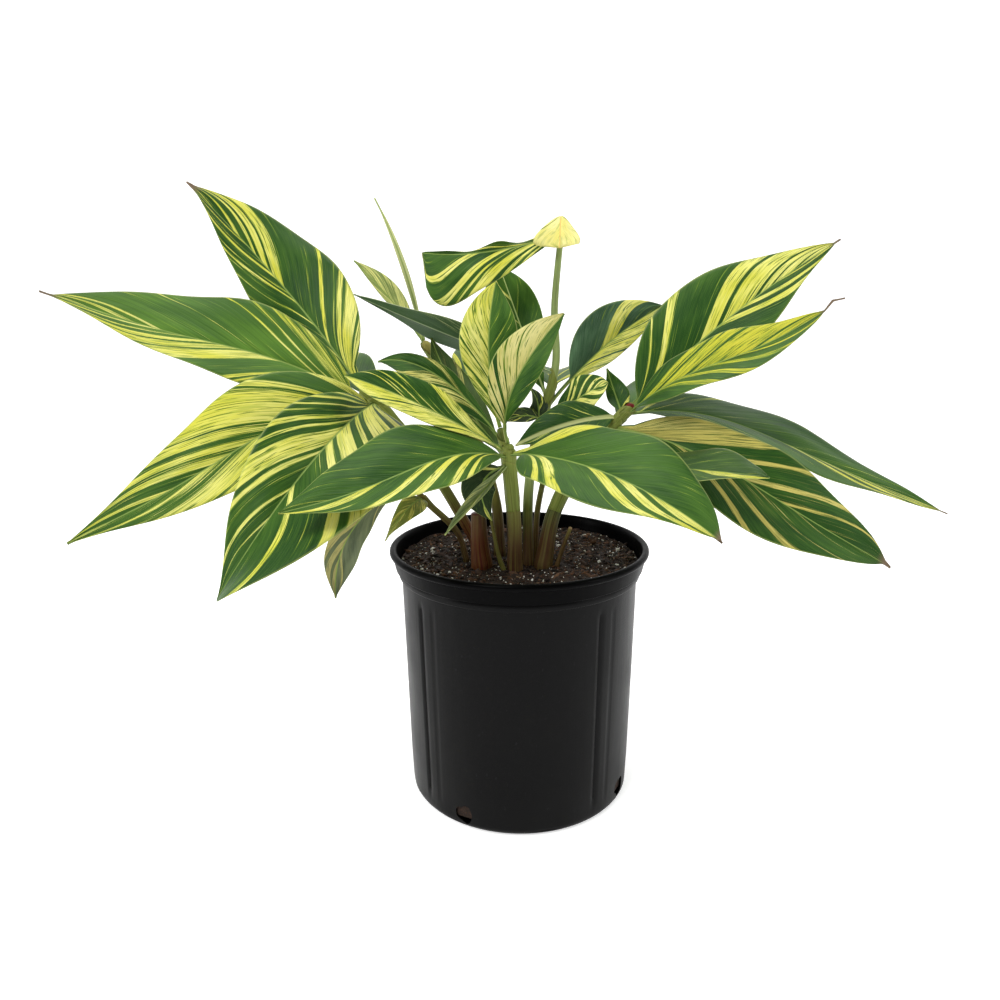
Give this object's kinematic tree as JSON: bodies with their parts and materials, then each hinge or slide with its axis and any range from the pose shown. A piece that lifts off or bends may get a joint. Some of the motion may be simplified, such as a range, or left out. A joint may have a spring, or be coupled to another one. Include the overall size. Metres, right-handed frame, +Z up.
{
  "type": "potted variegated ginger",
  "caption": "Leafy ginger plant with broad green blades striped in yellow and cream, on leaning canes that stand in soil in a round black nursery pot.",
  "frame": {"origin": "middle of the pot's flat underside", "axes": "+Z up, the front that the picture shows faces -Y, and +X is to the right seen from the front, along the plant's widest spread"},
  "size_m": [0.802, 0.4887, 0.5964],
  "materials": {
    "pot_plastic": "satin",
    "potting_soil": "matte",
    "cane_skin": "satin",
    "leaf_blade": "satin"
  },
  "bodies": {
    "root": {"pot": "pot_plastic", "soil": "potting_soil", "cane_front": "cane_skin", "cane_inner": "cane_skin", "cane_sprout": "cane_skin", "cane_tall": "cane_skin", "cane_slim": "cane_skin", "cane_right": "cane_skin", "cane_cut": "cane_skin", "cane_stump": "cane_skin", "cane_left": "cane_skin", "cane_low": "cane_skin", "cane_back": "cane_skin", "leaf_left_rising": "leaf_blade", "leaf_left_long": "leaf_blade", "leaf_left_drooping": "leaf_blade", "leaf_left_front": "leaf_blade", "leaf_left_small": "leaf_blade", "leaf_left_hanging": "leaf_blade", "leaf_front_left": "leaf_blade", "leaf_front_right": "leaf_blade", "leaf_front_high": "leaf_blade", "leaf_front_narrow": "leaf_blade", "leaf_centre_short": "leaf_blade", "leaf_centre_tall": "leaf_blade", "leaf_inner_left": "leaf_blade", "leaf_inner_shaded": "leaf_blade", "leaf_inner_hanging": "leaf_blade", "leaf_right_rising": "leaf_blade", "leaf_right_level": "leaf_blade", "leaf_right_long": "leaf_blade", "leaf_right_drooping": "leaf_blade", "leaf_right_under": "leaf_blade", "leaf_right_inner": "leaf_blade", "leaf_right_small": "leaf_blade", "leaf_right_curled": "leaf_blade", "leaf_rear_broad": "leaf_blade", "leaf_middle_small": "leaf_blade", "leaf_top_folded": "leaf_blade", "leaf_top_bract": "leaf_blade", "leaf_middle_striped": "leaf_blade", "leaf_middle_low": "leaf_blade", "leaf_back_flat": "leaf_blade", "leaf_back_upright": "leaf_blade", "leaf_back_spike": "leaf_blade", "leaf_rear_left": "leaf_blade", "leaf_rear_centre": "leaf_blade", "leaf_rear_middle": "leaf_blade", "leaf_rear_right": "leaf_blade"}
  },
  "joints": []
}
